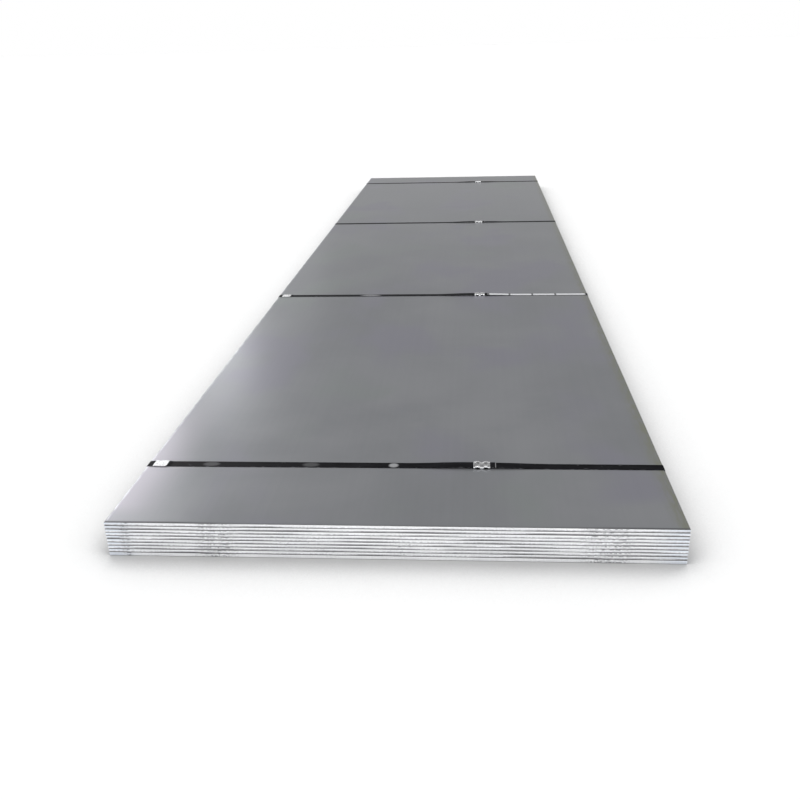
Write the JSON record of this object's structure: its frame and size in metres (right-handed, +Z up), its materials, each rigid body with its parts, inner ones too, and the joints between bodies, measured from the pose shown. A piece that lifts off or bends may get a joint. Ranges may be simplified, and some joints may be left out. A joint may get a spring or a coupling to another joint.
{
  "type": "strapped stack of steel plates",
  "caption": "Stack of flat sheared steel plates bound across its width by black steel straps with crimped seals, so that it can be stored and lifted as one bundle.",
  "frame": {"origin": "bottom centre of the bundle, on the undersides of the straps", "axes": "+X across the plates towards the seals, +Y along the plates from the near end to the far end, +Z up"},
  "size_m": [1.502, 6.0012, 0.1094],
  "materials": {
    "plate_steel": "mill finish, lightly oiled, bright sheared edges",
    "strap_black": "black waxed strapping",
    "seal_zinc": "galvanised"
  },
  "bodies": {
    "root": {"plate_01": "plate_steel", "plate_02": "plate_steel", "plate_03": "plate_steel", "plate_04": "plate_steel", "plate_05": "plate_steel", "plate_06": "plate_steel", "plate_07": "plate_steel", "plate_08": "plate_steel", "plate_09": "plate_steel", "plate_10": "plate_steel", "strap_1": "strap_black", "strap_2": "strap_black", "strap_3": "strap_black", "strap_4": "strap_black", "seal_1": "seal_zinc", "seal_2": "seal_zinc", "seal_3": "seal_zinc", "seal_4": "seal_zinc", "edge_clip_1": "seal_zinc", "edge_clip_2": "seal_zinc"}
  },
  "joints": []
}
